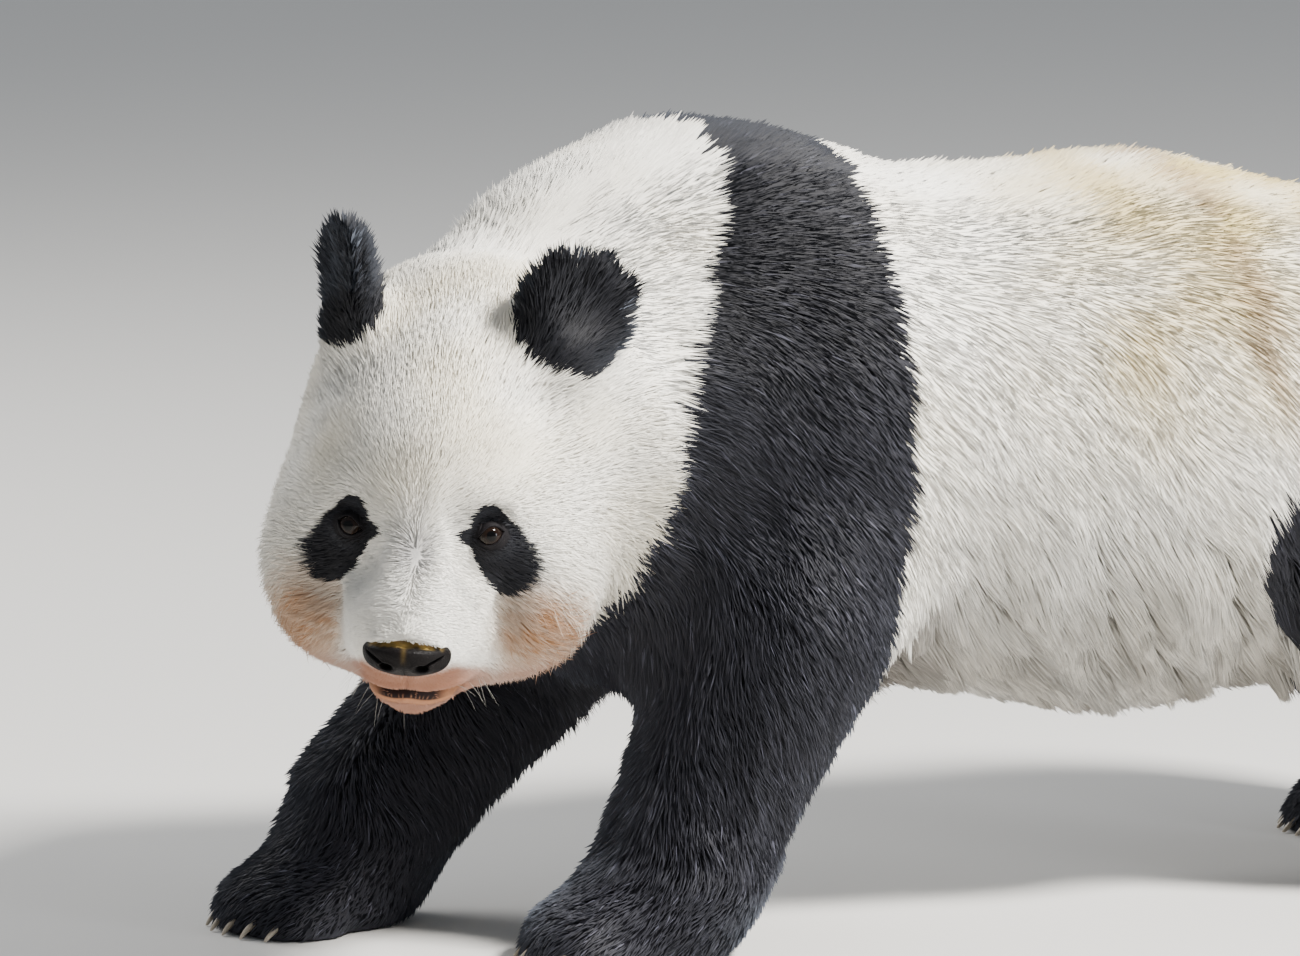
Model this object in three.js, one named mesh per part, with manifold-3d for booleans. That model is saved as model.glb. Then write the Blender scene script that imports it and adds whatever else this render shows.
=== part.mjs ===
// Giant panda, life size, as a still museum model: it walks with the right forefoot ahead, its head
// lowered and turned to its left. Units are millimetres. The panda faces -X, its left side is -Y and
// +Z is up; the soles stand on z = 0. Every solid reaches out to the tips of the coat.
//
// The body is one smooth field: named masses (ellipsoids and tapered limbs) melt into each other, a
// net is laid over the field's surface, and thin cuts part it into head, ears, neck, trunk, legs,
// paws and tail. Eyes, nose pad and claws are solids of their own, let into the flesh.
import * as THREE from 'three';
import { mergeVertices } from 'three/addons/utils/BufferGeometryUtils.js';
import Module from 'manifold-3d';

const wasm = await Module();
wasm.setup();

// ---- driving sizes ----
const withersHeight = 720; // the shoulder height, on the fur
const chestHalfWidth = 212;
const bellyHalfWidth = 240;
const bellyClearance = 158;
const backHeight = 676; // over the loins
const headHalfWidth = 146; // across the cheeks, on the fur
const eyeSpacing = 115; // between the centres of the eyes
const eyeRadius = 11;
const earRadius = 52;
const noseWidth = 75;
const clawLength = 38;
const clawThickness = 10.4; // at its root
const toeCount = 5;
const seamGap = 0.35; // between two nodes that were one piece of flesh

// Where the head is carried, and how it is turned (degrees): yaw from +X, nose down, roll.
const headPlace = { at: [-386.6, -151.9, 413], yaw: 239, pitch: 18.8, roll: -3.8 };

// Net cells: finer where the shape is finer.
const bodyCell = 46;
const pawCell = 29;
const headCell = 24;
const earCell = 16;

const degrees = THREE.MathUtils.degToRad;
const vec = (a) => new THREE.Vector3(a[0], a[1], a[2]);

// ---- masses: each is a signed distance, negative inside ----
function frameOf({ at, yaw = 0, pitch = 0, roll = 0 }) {
  const turn = new THREE.Euler(degrees(roll), degrees(pitch), degrees(yaw), 'ZYX');
  return new THREE.Matrix4().makeRotationFromEuler(turn).setPosition(vec(at));
}

function ellipsoid(at, radii, turn = {}) {
  const inverse = frameOf({ at, ...turn }).invert();
  const q = new THREE.Vector3();
  const size = vec(radii);
  return (p) => {
    q.copy(p).applyMatrix4(inverse).divide(size);
    const ratio = q.length();
    return ratio < 1e-6 ? -Math.min(...radii) : (ratio * (ratio - 1)) / q.divide(size).length();
  };
}

function limb(from, to, fromRadius, toRadius) {
  const a = vec(from);
  const axis = vec(to).sub(a);
  const q = new THREE.Vector3();
  return (p) => {
    q.copy(p).sub(a);
    const t = THREE.MathUtils.clamp(q.dot(axis) / axis.lengthSq(), 0, 1);
    return q.addScaledVector(axis, -t).length() - THREE.MathUtils.lerp(fromRadius, toRadius, t);
  };
}

// Joins masses with a soft web of flesh, `soft` mm wide, where they meet.
function melt(soft, masses) {
  return (p) => masses.reduce((d, mass) => {
    const e = mass(p);
    const web = Math.max(soft - Math.abs(d - e), 0) / soft;
    return Math.min(d, e) - (web * web * soft) / 4;
  }, 1e4);
}

// Presses hollows into a field, with edges `soft` mm round.
function hollow(soft, field, pits) {
  return (p) => pits.reduce((d, pit) => {
    const e = -pit(p);
    const web = Math.max(soft - Math.abs(d - e), 0) / soft;
    return Math.max(d, e) + (web * web * soft) / 4;
  }, field(p));
}

function placed(field, place) {
  const inverse = frameOf(place).invert();
  const q = new THREE.Vector3();
  return (p) => field(q.copy(p).applyMatrix4(inverse));
}

const bothSides = (make) => [make(1), make(-1)];

// ---- trunk and neck ----
const bellyMiddle = (backHeight + bellyClearance) / 2;
const trunkField = melt(90, [
  ellipsoid([70, 0, 440], [240, chestHalfWidth, 236]), // chest
  ...bothSides((side) => ellipsoid([-66, side * 74, withersHeight - 136], [132, 100, 130])), // shoulders
  ellipsoid([330, 0, bellyMiddle], [300, bellyHalfWidth, backHeight - bellyMiddle]), // belly
  ellipsoid([585, 0, 400], [245, 222, 217]), // rump
]);

const neckField = melt(70, [
  limb([-60, 0, 484], [-318, -98, 480], 222, 152),
  ellipsoid([-160, -24, 569], [138, 118, 127]), // crest of the neck
  ellipsoid([-160, -20, 330], [125, 140, 112]), // breast, under the throat
]);

const tailField = limb([800, 0, 500], [832, 0, 385], 44, 36);

// ---- legs: joints from shoulder or hip down to the paw ----
const legs = {
  front_left: {
    side: -1, heading: 8, toes: 'front',
    upper: { at: [-30, -132, 420], radii: [122, 92, 185], tilt: 10 },
    elbow: [-62, -150, 285], wrist: [-146, -146, 96], paw: [-182, -143, 40], radii: [104, 76],
    region: { front: -236, back: 50, lean: 0.45 },
  },
  front_right: {
    side: 1, heading: 10, toes: 'front',
    upper: { at: [-62, 132, 415], radii: [122, 92, 180], tilt: 26 },
    elbow: [-134, 146, 290], wrist: [-322, 134, 104], paw: [-362, 128, 40], radii: [102, 76],
    region: { front: -366, back: -6, lean: 0.9 },
  },
  hind_left: {
    side: -1, heading: -6, toes: 'hind',
    upper: { at: [612, -120, 372], radii: [158, 118, 190], tilt: 8 },
    elbow: [592, -146, 262], wrist: [648, -146, 104], paw: [618, -148, 38], radii: [118, 80],
    region: { front: 462, back: 900, lean: 0.4 },
  },
  hind_right: {
    side: 1, heading: -6, toes: 'hind',
    upper: { at: [668, 120, 366], radii: [158, 116, 185], tilt: -8 },
    elbow: [690, 146, 262], wrist: [772, 146, 106], paw: [742, 148, 38], radii: [116, 80],
    region: { front: 545, back: 980, lean: 0.4 },
  },
};

const pawSizes = {
  front: { length: 92, width: 66, height: 46, toe: 23, toeReach: 76, toeSpread: 27, toeHeight: 19 },
  hind: { length: 98, width: 60, height: 42, toe: 21, toeReach: 84, toeSpread: 25, toeHeight: 17 },
};
const toeArc = 3.4; // how far the outer toes stay behind the middle one

const pawYaw = (leg) => 180 + leg.side * leg.heading;

// The toes, side by side in a shallow arc, with each one's place from the middle of the paw.
function toePlaces(leg) {
  const { toeReach, toeSpread, toeHeight } = pawSizes[leg.toes];
  const frame = frameOf({ at: [leg.paw[0], leg.paw[1], toeHeight], yaw: pawYaw(leg) });
  return Array.from({ length: toeCount }, (_, i) => {
    const across = i - (toeCount - 1) / 2;
    const reach = toeReach - toeArc * across * across;
    return { across, at: new THREE.Vector3(reach, across * toeSpread, 0).applyMatrix4(frame) };
  });
}

function legField(leg) {
  const size = pawSizes[leg.toes];
  const turn = { yaw: pawYaw(leg) };
  const toeRadii = [size.toe * 1.35, size.toe * 0.86, size.toe];
  const upperLeg = ellipsoid(leg.upper.at, leg.upper.radii, { pitch: leg.upper.tilt });
  const lowerLeg = limb(leg.elbow, leg.wrist, ...leg.radii);
  return melt(34, [
    melt(60, [upperLeg, lowerLeg]),
    limb(leg.wrist, leg.paw, leg.radii[1] - 4, size.width - 12),
    ellipsoid(leg.paw, [size.length, size.width, size.height], turn),
    ...toePlaces(leg).map((toe) => ellipsoid(toe.at.toArray(), toeRadii, turn)),
  ]);
}

// ---- head, in its own frame: +x to the nose, +y to its left, +z to the crown ----
const eyeAt = { forward: 106, up: 30 };
const nosePad = { at: [203, 0, -36], radii: [17, noseWidth / 2, 20], drawnIn: 0.14 };
const eyeHollow = { at: [134, 60, 24], radii: [26, 30, 30] };

const mirrored = ([x, y, z], side) => [x, side * y, z];
const skullMasses = melt(48, [
  ellipsoid([-18, 0, 42], [136, 112, 122]), // cranium
  ...bothSides((side) => ellipsoid([14, side * 60, -40], [104, headHalfWidth - 60, 105])), // cheeks
  ellipsoid([62, 0, 40], [58, 84, 78]), // forehead
  ellipsoid([118, 0, -42], [84, 60, 50]), // muzzle
  limb([70, 0, -84], [136, 0, -94], 56, 34), // lower jaw and chin
  limb([88, 0, 26], [186, 0, -20], 30, 19), // bridge of the nose
]);
const eyeHollows = bothSides((side) => ellipsoid(mirrored(eyeHollow.at, side), eyeHollow.radii));
const skullField = hollow(22, skullMasses, eyeHollows);

// Each ear turns on its own: the left one is pricked forward, the right one out to the side.
const ears = {
  ear_left: { at: [-20, 113, 183], facing: [0.865, 0.38, 0.29], up: [-0.2, 0.352, 0.92] },
  ear_right: { at: [-27.5, -85, 194], facing: [0.34, -0.935, 0.03], up: [-0.25, -0.228, 0.94] },
};

function earFrame({ at, facing, up }) {
  const x = vec(facing).normalize();
  const y = vec(up).cross(x).normalize();
  const z = x.clone().cross(y);
  return new THREE.Matrix4().makeBasis(x, y, z).setPosition(vec(at));
}

// A rounded flap, cupped towards +x, whose stalk reaches down into the crown.
const flap = ellipsoid([0, 0, 4], [22, earRadius, earRadius]);
const stalk = limb([-2, 0, -30], [0, 0, -62], 27, 23);
const cup = ellipsoid([30, 0, 4], [22, 30, 30]);
const earShape = hollow(16, melt(24, [flap, stalk]), [cup]);

function earField(ear) {
  const inverse = earFrame(ear).invert();
  const q = new THREE.Vector3();
  return (p) => earShape(q.copy(p).applyMatrix4(inverse));
}

const headFrame = frameOf(headPlace);
const inHead = (matrix) => headFrame.clone().multiply(matrix);
const headField = placed(melt(14, [skullField, ...Object.values(ears).map(earField)]), headPlace);

const pandaField = melt(46, [
  trunkField,
  neckField,
  headField,
  tailField,
  ...Object.values(legs).map(legField),
]);

// ---- the net: one point for each cell that the surface crosses, drawn onto the surface ----
function gradient(field, p, step = 0.5) {
  const g = new THREE.Vector3();
  const q = new THREE.Vector3();
  for (const axis of ['x', 'y', 'z']) {
    q.copy(p)[axis] += step;
    const ahead = field(q);
    q[axis] -= 2 * step;
    g[axis] = (ahead - field(q)) / (2 * step);
  }
  return g;
}

// A grid of cells over a box, with the field's value at each of its nodes.
function gridOver(field, box, cell) {
  const counts = box.getSize(new THREE.Vector3()).divideScalar(cell).ceil().addScalar(1).toArray();
  const index = ([i, j, k]) => (k * counts[1] + j) * counts[0] + i;
  const node = (place) => box.min.clone().add(vec(place).multiplyScalar(cell));
  const onRim = (place) => place.some((n, axis) => n === 0 || n === counts[axis] - 1);
  const eachPlace = (less, visit) => {
    for (let k = 0; k < counts[2] - less; k++) {
      for (let j = 0; j < counts[1] - less; j++) {
        for (let i = 0; i < counts[0] - less; i++) visit([i, j, k]);
      }
    }
  };
  const values = new Float64Array(counts[0] * counts[1] * counts[2]);
  eachPlace(0, (place) => {
    const value = field(node(place));
    values[index(place)] = onRim(place) ? Math.max(value, cell / 4) : value; // closed at the box
  });
  return { cell, index, node, onRim, eachPlace, valueAt: (place) => values[index(place)] };
}

const plus = (a, b) => a.map((x, n) => x + b[n]);
const unitSteps = [[1, 0, 0], [0, 1, 0], [0, 0, 1]];
const cellCorners = Array.from({ length: 8 }, (_, n) => [n & 1, (n >> 1) & 1, n >> 2]);
const cellEdges = cellCorners.flatMap((a) => unitSteps
  .filter((step) => plus(a, step).every((x) => x < 2))
  .map((step) => [a, plus(a, step)]));

// The middle of the places where the surface crosses a cell's edges, or null where it doesn't.
function crossing(grid, place) {
  const middle = new THREE.Vector3();
  let count = 0;
  for (const [a, b] of cellEdges) {
    const from = plus(place, a);
    const to = plus(place, b);
    const u = grid.valueAt(from);
    const v = grid.valueAt(to);
    if (u < 0 === v < 0) continue;
    middle.add(grid.node(from).lerp(grid.node(to), u / (u - v)));
    count++;
  }
  return count ? middle.divideScalar(count) : null;
}

// Draws a point onto the field's surface, but never far out of its own cell.
function drawnOnto(field, start, cell) {
  const p = start.clone();
  for (let round = 0; round < 2; round++) {
    const g = gradient(field, p);
    p.addScaledVector(g, -field(p) / Math.max(g.lengthSq(), 0.2));
  }
  return p.distanceTo(start) > cell * 0.45 ? start : p;
}

// The four cells round a grid edge along x, y or z.
const cellsRound = [
  [[0, 0, 0], [0, -1, 0], [0, -1, -1], [0, 0, -1]],
  [[0, 0, 0], [0, 0, -1], [-1, 0, -1], [-1, 0, 0]],
  [[0, 0, 0], [-1, 0, 0], [-1, -1, 0], [0, -1, 0]],
];

function netOver(field, box, cell) {
  const grid = gridOver(field, box, cell);
  const pointOf = new Map();
  const positions = [];
  grid.eachPlace(1, (place) => {
    const middle = crossing(grid, place);
    if (!middle) return;
    const fixed = grid.onRim(place) || grid.onRim(plus(place, [1, 1, 1]));
    pointOf.set(grid.index(place), positions.length / 3);
    positions.push(...(fixed ? middle : drawnOnto(field, middle, cell)).toArray());
  });
  const triangles = [];
  grid.eachPlace(1, (place) => {
    unitSteps.forEach((step, axis) => {
      const inside = grid.valueAt(place) < 0;
      const insideNext = grid.valueAt(plus(place, step)) < 0;
      if (inside === insideNext) return;
      const quad = cellsRound[axis].map((offset) => pointOf.get(grid.index(plus(place, offset))));
      if (insideNext) quad.reverse();
      triangles.push(quad[0], quad[1], quad[2], quad[0], quad[2], quad[3]);
    });
  });
  return new wasm.Manifold(new wasm.Mesh({
    numProp: 3,
    vertProperties: new Float32Array(positions),
    triVerts: new Uint32Array(triangles),
  }));
}

// ---- solids from three.js geometry, and back ----
function solidOf(geometry, matrix = new THREE.Matrix4()) {
  const bare = geometry.clone().applyMatrix4(matrix);
  bare.deleteAttribute('normal');
  bare.deleteAttribute('uv');
  const merged = mergeVertices(bare, 1e-3);
  return new wasm.Manifold(new wasm.Mesh({
    numProp: 3,
    vertProperties: merged.getAttribute('position').array,
    triVerts: new Uint32Array(merged.index.array),
  }));
}

// Drops the triangles that have shrunk to nothing and those that lie back to back.
function withoutFins(faces) {
  const kept = new Map();
  for (const face of faces) {
    if (new Set(face).size < 3) continue;
    const key = [...face].sort((a, b) => a - b).join();
    if (kept.has(key)) kept.delete(key);
    else kept.set(key, face);
  }
  return [...kept.values()];
}

// The edges that don't have two triangles each.
function pinches(faces) {
  const edges = new Map();
  for (const face of faces) {
    face.forEach((a, n) => {
      const b = face[(n + 1) % 3];
      const key = `${Math.min(a, b)},${Math.max(a, b)}`;
      edges.set(key, (edges.get(key) ?? 0) + 1);
    });
  }
  return [...edges].filter(([, count]) => count !== 2).map(([key]) => key.split(',').map(Number));
}

// Joins the points that a cut leaves a hair apart.
const hair = 0.01;
function welded(mesh) {
  const numbers = new Map();
  const positions = [];
  const numberOf = (v) => {
    const place = [0, 1, 2].map((n) => Math.round(mesh.vertProperties[3 * v + n] / hair));
    const key = place.join();
    if (!numbers.has(key)) {
      numbers.set(key, positions.length / 3);
      positions.push(...place.map((x) => x * hair));
    }
    return numbers.get(key);
  };
  const corners = Array.from(mesh.triVerts, numberOf);
  const faces = Array.from({ length: corners.length / 3 }, (_, i) => corners.slice(3 * i, 3 * i + 3));
  return { positions, faces: withoutFins(faces) };
}

// Where the surface touches itself along an edge, that edge is drawn together to one point.
const pinchRounds = 8;
function unpinched(faces) {
  let rest = faces;
  for (let round = 0; round < pinchRounds; round++) {
    const found = pinches(rest);
    if (!found.length) break;
    for (const [a, b] of found) rest = rest.map((face) => face.map((v) => (v === b ? a : v)));
    rest = withoutFins(rest);
  }
  return rest;
}

function geometryOf(solid) {
  const { positions, faces } = welded(solid.getMesh());
  const geometry = new THREE.BufferGeometry();
  geometry.setAttribute('position', new THREE.Float32BufferAttribute(positions, 3));
  geometry.setIndex(unpinched(faces).flat());
  geometry.computeVertexNormals();
  return geometry;
}

// All that lies beyond a plane, `inset` mm past it.
const farSize = 4000;
function beyond(point, normal, inset = 0) {
  const direction = vec(normal).normalize();
  const centre = vec(point).addScaledVector(direction, farSize / 2 + inset);
  const turn = new THREE.Quaternion().setFromUnitVectors(new THREE.Vector3(0, 0, 1), direction);
  const matrix = new THREE.Matrix4().compose(centre, turn, new THREE.Vector3(1, 1, 1));
  return solidOf(new THREE.BoxGeometry(farSize, farSize, farSize), matrix);
}

const opposite = (normal) => normal.map((x) => -x);
const largest = (solid) => solid.decompose().sort((a, b) => b.volume() - a.volume())[0];

// ---- where the flesh is parted ----
// A leg takes what lies outside a slope from the armpit or groin up to the shoulder or hip.
const legCut = { across: 70, height: 205, rise: [0.8, -0.6] };
function legRegion(leg, inset) {
  const { front, back, lean } = leg.region;
  const [outward, down] = legCut.rise;
  return beyond([0, leg.side * legCut.across, legCut.height], [0, leg.side * outward, down], inset)
    .intersect(beyond([front, 0, legCut.height], [1, 0, -lean], inset))
    .intersect(beyond([back, 0, legCut.height + 45], [-1, 0, lean * 0.75], inset));
}

// An ear takes what lies in a box set on its root.
const earBox = { depth: 84, width: 118, height: 120, root: -22 };
function earRegion(ear, grow) {
  const { depth, width, height, root } = earBox;
  const geometry = new THREE.BoxGeometry(depth + 2 * grow, width + 2 * grow, height + 2 * grow);
  const up = new THREE.Matrix4().makeTranslation(0, 0, root + height / 2);
  return solidOf(geometry, inHead(earFrame(ear)).multiply(up));
}

const ground = { at: [0, 0, 0], up: [0, 0, 1] };
const nape = { at: [-300, -95, 440], normal: [-0.75, -0.62, -0.22] }; // head from neck
const collar = { at: [-128, 0, 440], normal: [-1, -0.06, -0.1] }; // neck from trunk
const dock = { at: [800, 0, 500], normal: [0.93, 0, 0.36] }; // tail from trunk
const wristHeight = { front: 92, hind: 88 };

const boxRound = (at, size) => new THREE.Box3().setFromCenterAndSize(vec(at), vec(size));
const bodyBox = boxRound([200, 0, 370], [1520, 660, 840]);
const headBox = boxRound(headPlace.at, [620, 620, 620]);
const pawBox = (leg) => boxRound(leg.paw, [330, 260, 240]);
const earBoxRound = (ear) => boxRound(vec(ear.at).applyMatrix4(headFrame).toArray(), [260, 260, 260]);

const standing = beyond(ground.at, ground.up);
const body = netOver(pandaField, bodyBox, bodyCell).intersect(standing);
const headFlesh = netOver(pandaField, headBox, headCell);

// ---- eyes, nose pad and claws ----
function eyeSolid(side, extra = 0) {
  const place = new THREE.Matrix4().makeTranslation(eyeAt.forward, (side * eyeSpacing) / 2, eyeAt.up);
  return solidOf(new THREE.SphereGeometry(eyeRadius + extra, 12, 8), inHead(place));
}

// The nose pad is broad at its top and drawn in towards the lip.
function noseSolid(extra = 0) {
  const [deep, wide, high] = nosePad.radii.map((r) => r + extra);
  const geometry = new THREE.SphereGeometry(1, 16, 8);
  const position = geometry.getAttribute('position');
  for (let i = 0; i < position.count; i++) {
    const up = position.getZ(i);
    const width = wide * (1 - nosePad.drawnIn * (1 - up));
    position.setXYZ(i, deep * position.getX(i), width * position.getY(i), high * up);
  }
  return solidOf(geometry, inHead(new THREE.Matrix4().makeTranslation(...nosePad.at)));
}

const claw = { rings: 3, sides: 5, flatness: 0.72, bend: 124, pitch: 6, fan: 4, clear: 0.8 };

// A claw is a slim cone bent downwards, `extra` mm fatter for the hole it sits in.
function clawGeometry(extra) {
  const profile = [new THREE.Vector2(0, -extra)];
  for (let i = 0; i < claw.rings; i++) {
    const t = i / claw.rings;
    const radius = (clawThickness / 2 + extra) * Math.sqrt(1 - t ** 1.6);
    profile.push(new THREE.Vector2(radius, (clawLength + extra) * t - (i ? 0 : extra)));
  }
  profile.push(new THREE.Vector2(0, clawLength + extra));
  const geometry = new THREE.LatheGeometry(profile, claw.sides);
  const position = geometry.getAttribute('position');
  for (let i = 0; i < position.count; i++) {
    const along = Math.max(position.getY(i), 0);
    position.setX(i, position.getX(i) * claw.flatness);
    position.setZ(i, position.getZ(i) + (2 * along * along) / claw.bend);
  }
  return geometry.rotateZ(degrees(-90));
}

function clawSolid(leg, toe, extra = 0) {
  const yaw = pawYaw(leg) - toe.across * claw.fan;
  const ahead = new THREE.Vector3(Math.cos(degrees(yaw)), Math.sin(degrees(yaw)), 0);
  const root = toe.at.clone().addScaledVector(ahead, pawSizes[leg.toes].toe * 0.7);
  const place = frameOf({ at: root.toArray(), yaw, pitch: claw.pitch, roll: 180 });
  return solidOf(clawGeometry(extra), place).intersect(beyond([0, 0, claw.clear], ground.up));
}

// ---- materials ----
const finish = (color, roughness) => new THREE.MeshStandardMaterial({ color, roughness, metalness: 0 });
const whiteFur = finish(0xe9e2d2, 0.85);
const blackFur = finish(0x1b1b20, 0.8);
const noseLeather = finish(0x17130f, 0.35);
const eyeGlass = finish(0x120c09, 0.08);
const horn = finish(0x8d8069, 0.45);

const panda = new THREE.Group();
panda.name = 'giant_panda';
function add(name, solid, material) {
  const mesh = new THREE.Mesh(geometryOf(solid), material);
  mesh.name = name;
  panda.add(mesh);
}

// ---- head ----
const withoutLegs = (solid) => Object.values(legs)
  .reduce((rest, leg) => rest.subtract(legRegion(leg, -seamGap / 2)), solid);
const withoutEars = (solid) => Object.values(ears)
  .reduce((rest, ear) => rest.subtract(earRegion(ear, seamGap)), solid);

for (const [name, ear] of Object.entries(ears)) {
  const flesh = netOver(pandaField, earBoxRound(ear), earCell);
  add(name, largest(flesh.intersect(earRegion(ear, 0))), blackFur);
}
add('eye_left', eyeSolid(1), eyeGlass);
add('eye_right', eyeSolid(-1), eyeGlass);
add('nose', noseSolid(), noseLeather);

function headSolid() {
  const flesh = headFlesh.intersect(beyond(nape.at, nape.normal, seamGap / 2));
  const sockets = [eyeSolid(1, seamGap), eyeSolid(-1, seamGap), noseSolid(seamGap)];
  const bare = largest(withoutEars(largest(withoutLegs(flesh))));
  return largest(sockets.reduce((rest, socket) => rest.subtract(socket), bare));
}
add('head', headSolid(), whiteFur);

// ---- neck, trunk and tail ----
const behindHead = beyond(nape.at, opposite(nape.normal), seamGap / 2);
const torso = largest(withoutEars(withoutLegs(body)).intersect(behindHead));
const behindNeck = torso.intersect(beyond(collar.at, opposite(collar.normal), seamGap / 2));
add('neck', largest(torso.intersect(beyond(collar.at, collar.normal, seamGap / 2))), whiteFur);
add('trunk', largest(behindNeck.intersect(beyond(dock.at, opposite(dock.normal), seamGap / 2))), whiteFur);
add('tail', largest(behindNeck.intersect(beyond(dock.at, dock.normal, seamGap / 2))), whiteFur);

// ---- legs, paws and claws ----
for (const [name, leg] of Object.entries(legs)) {
  const wrist = [0, 0, wristHeight[leg.toes]];
  const flesh = body.intersect(legRegion(leg, seamGap / 2));
  add(`${name}_leg`, largest(flesh.intersect(beyond(wrist, [0, 0, 1], seamGap / 2))), blackFur);
  const pawFlesh = netOver(legField(leg), pawBox(leg), pawCell).intersect(standing);
  let paw = largest(pawFlesh.intersect(beyond(wrist, [0, 0, -1], seamGap / 2)));
  toePlaces(leg).forEach((toe, i) => {
    paw = paw.subtract(clawSolid(leg, toe, seamGap));
    add(`${name}_claw_${i + 1}`, clawSolid(leg, toe), horn);
  });
  add(`${name}_paw`, largest(paw), blackFur);
}

// The origin is under the middle of the model's box, on the floor.
const box = new THREE.Box3().setFromObject(panda);
panda.children.forEach((mesh) => {
  mesh.geometry.translate(-(box.min.x + box.max.x) / 2, -(box.min.y + box.max.y) / 2, 0);
});

export default panda;
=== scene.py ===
import math
import bmesh
import bpy
import numpy as np
from mathutils import Euler, Matrix, Vector, kdtree
from mathutils.bvhtree import BVHTree


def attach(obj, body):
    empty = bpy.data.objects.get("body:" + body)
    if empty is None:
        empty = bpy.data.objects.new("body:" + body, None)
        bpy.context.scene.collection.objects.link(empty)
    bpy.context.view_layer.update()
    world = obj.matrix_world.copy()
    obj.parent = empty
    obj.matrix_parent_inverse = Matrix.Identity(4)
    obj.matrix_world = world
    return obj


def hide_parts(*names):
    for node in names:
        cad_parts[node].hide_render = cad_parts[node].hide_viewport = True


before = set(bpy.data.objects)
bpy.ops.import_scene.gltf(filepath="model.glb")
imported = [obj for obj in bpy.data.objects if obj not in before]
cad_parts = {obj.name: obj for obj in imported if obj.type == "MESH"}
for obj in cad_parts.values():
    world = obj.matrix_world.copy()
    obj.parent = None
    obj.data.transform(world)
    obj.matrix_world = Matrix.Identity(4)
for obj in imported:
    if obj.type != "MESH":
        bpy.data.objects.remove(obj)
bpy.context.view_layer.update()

rng = np.random.default_rng(20)
print("frame loaded")

# metres throughout; the panda faces -X and its left side is towards -Y
# p stands for places in this frame, and h for the same places in the head's own
headPose = {"at": (-0.5514, -0.1178, 0.4130), "roll": -3.8, "nod": 18.8, "yaw": 239.0}
midline = 0.0341  # the plane between its left and right halves
turn = Euler([math.radians(headPose[a]) for a in ("roll", "nod", "yaw")])
headTurn = np.array(turn.to_matrix())


def toHead(p):  # x to the nose, y to the left cheek, z to the crown
    return (p - np.array(headPose["at"])) @ headTurn


def fromHead(q):
    return np.asarray(q) @ headTurn.T + np.array(headPose["at"])


def rise(x, low, high):  # 0 below low, 1 above high, smooth between
    t = np.clip((x - low) / (high - low), 0, 1)
    return t * t * (3 - 2 * t)


def unit(v):
    return v / np.maximum(np.linalg.norm(v, axis=-1, keepdims=True), 1e-9)


def spot(q, middle, size):  # a soft round mark, 1 in its middle
    return np.exp(-(((q - np.array(middle)) / np.array(size)) ** 2).sum(-1))


def ripple(p, size, seed, waves=7):  # soft noise from about -1 to 1, its swells about `size` apart
    r = np.random.default_rng(seed)
    total = 0
    for _ in range(waves):
        way = unit(r.normal(size=3)) * r.uniform(0.6, 1.5) * 2 * math.pi / size
        total = total + np.sin(p @ way + r.uniform(0, 2 * math.pi))
    return total / math.sqrt(waves * 1.2)


# eyes: where they look, the opening between the lids, its rim and the bare skin round it
eyes = {"at": (0.105, 0.0575, 0.030), "gaze": (0.88, 0.26, 0.36), "ball": 0.0128, "cornea": 0.0009,
        "halfWidth": 0.0120, "halfHeight": 0.0084, "slant": 0.18, "lid": 0.0014, "fold": 0.0012,
        "rim": 0.00105, "bare": (0.0148, 0.0116)}


def eyeAxes(side):  # the eye's place, then out of the eye, away from the nose, and up
    at = np.array(eyes["at"]) * (1, side, 1)
    gaze = unit(np.array(eyes["gaze"]) * (1, side, 1))
    up = unit(np.array((0, 0, 1.0)) - gaze[2] * gaze)
    return at, gaze, np.cross(up, gaze) * side, up


def eyeCoords(h, side):
    at, gaze, outward, up = eyeAxes(side)
    q = h - at
    return q @ gaze, q @ outward, q @ up


def openness(across, up):  # below 1 between the lids
    room = np.maximum(1 - (across / eyes["halfWidth"]) ** 2, 0) * eyes["halfHeight"]
    return np.abs(up - eyes["slant"] * across) / np.maximum(room, 1e-6)


def eyeRing(h):  # distance from the nearer eye
    return np.min([np.linalg.norm(h - eyeAxes(side)[0], axis=1) for side in (1, -1)], axis=0)


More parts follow.
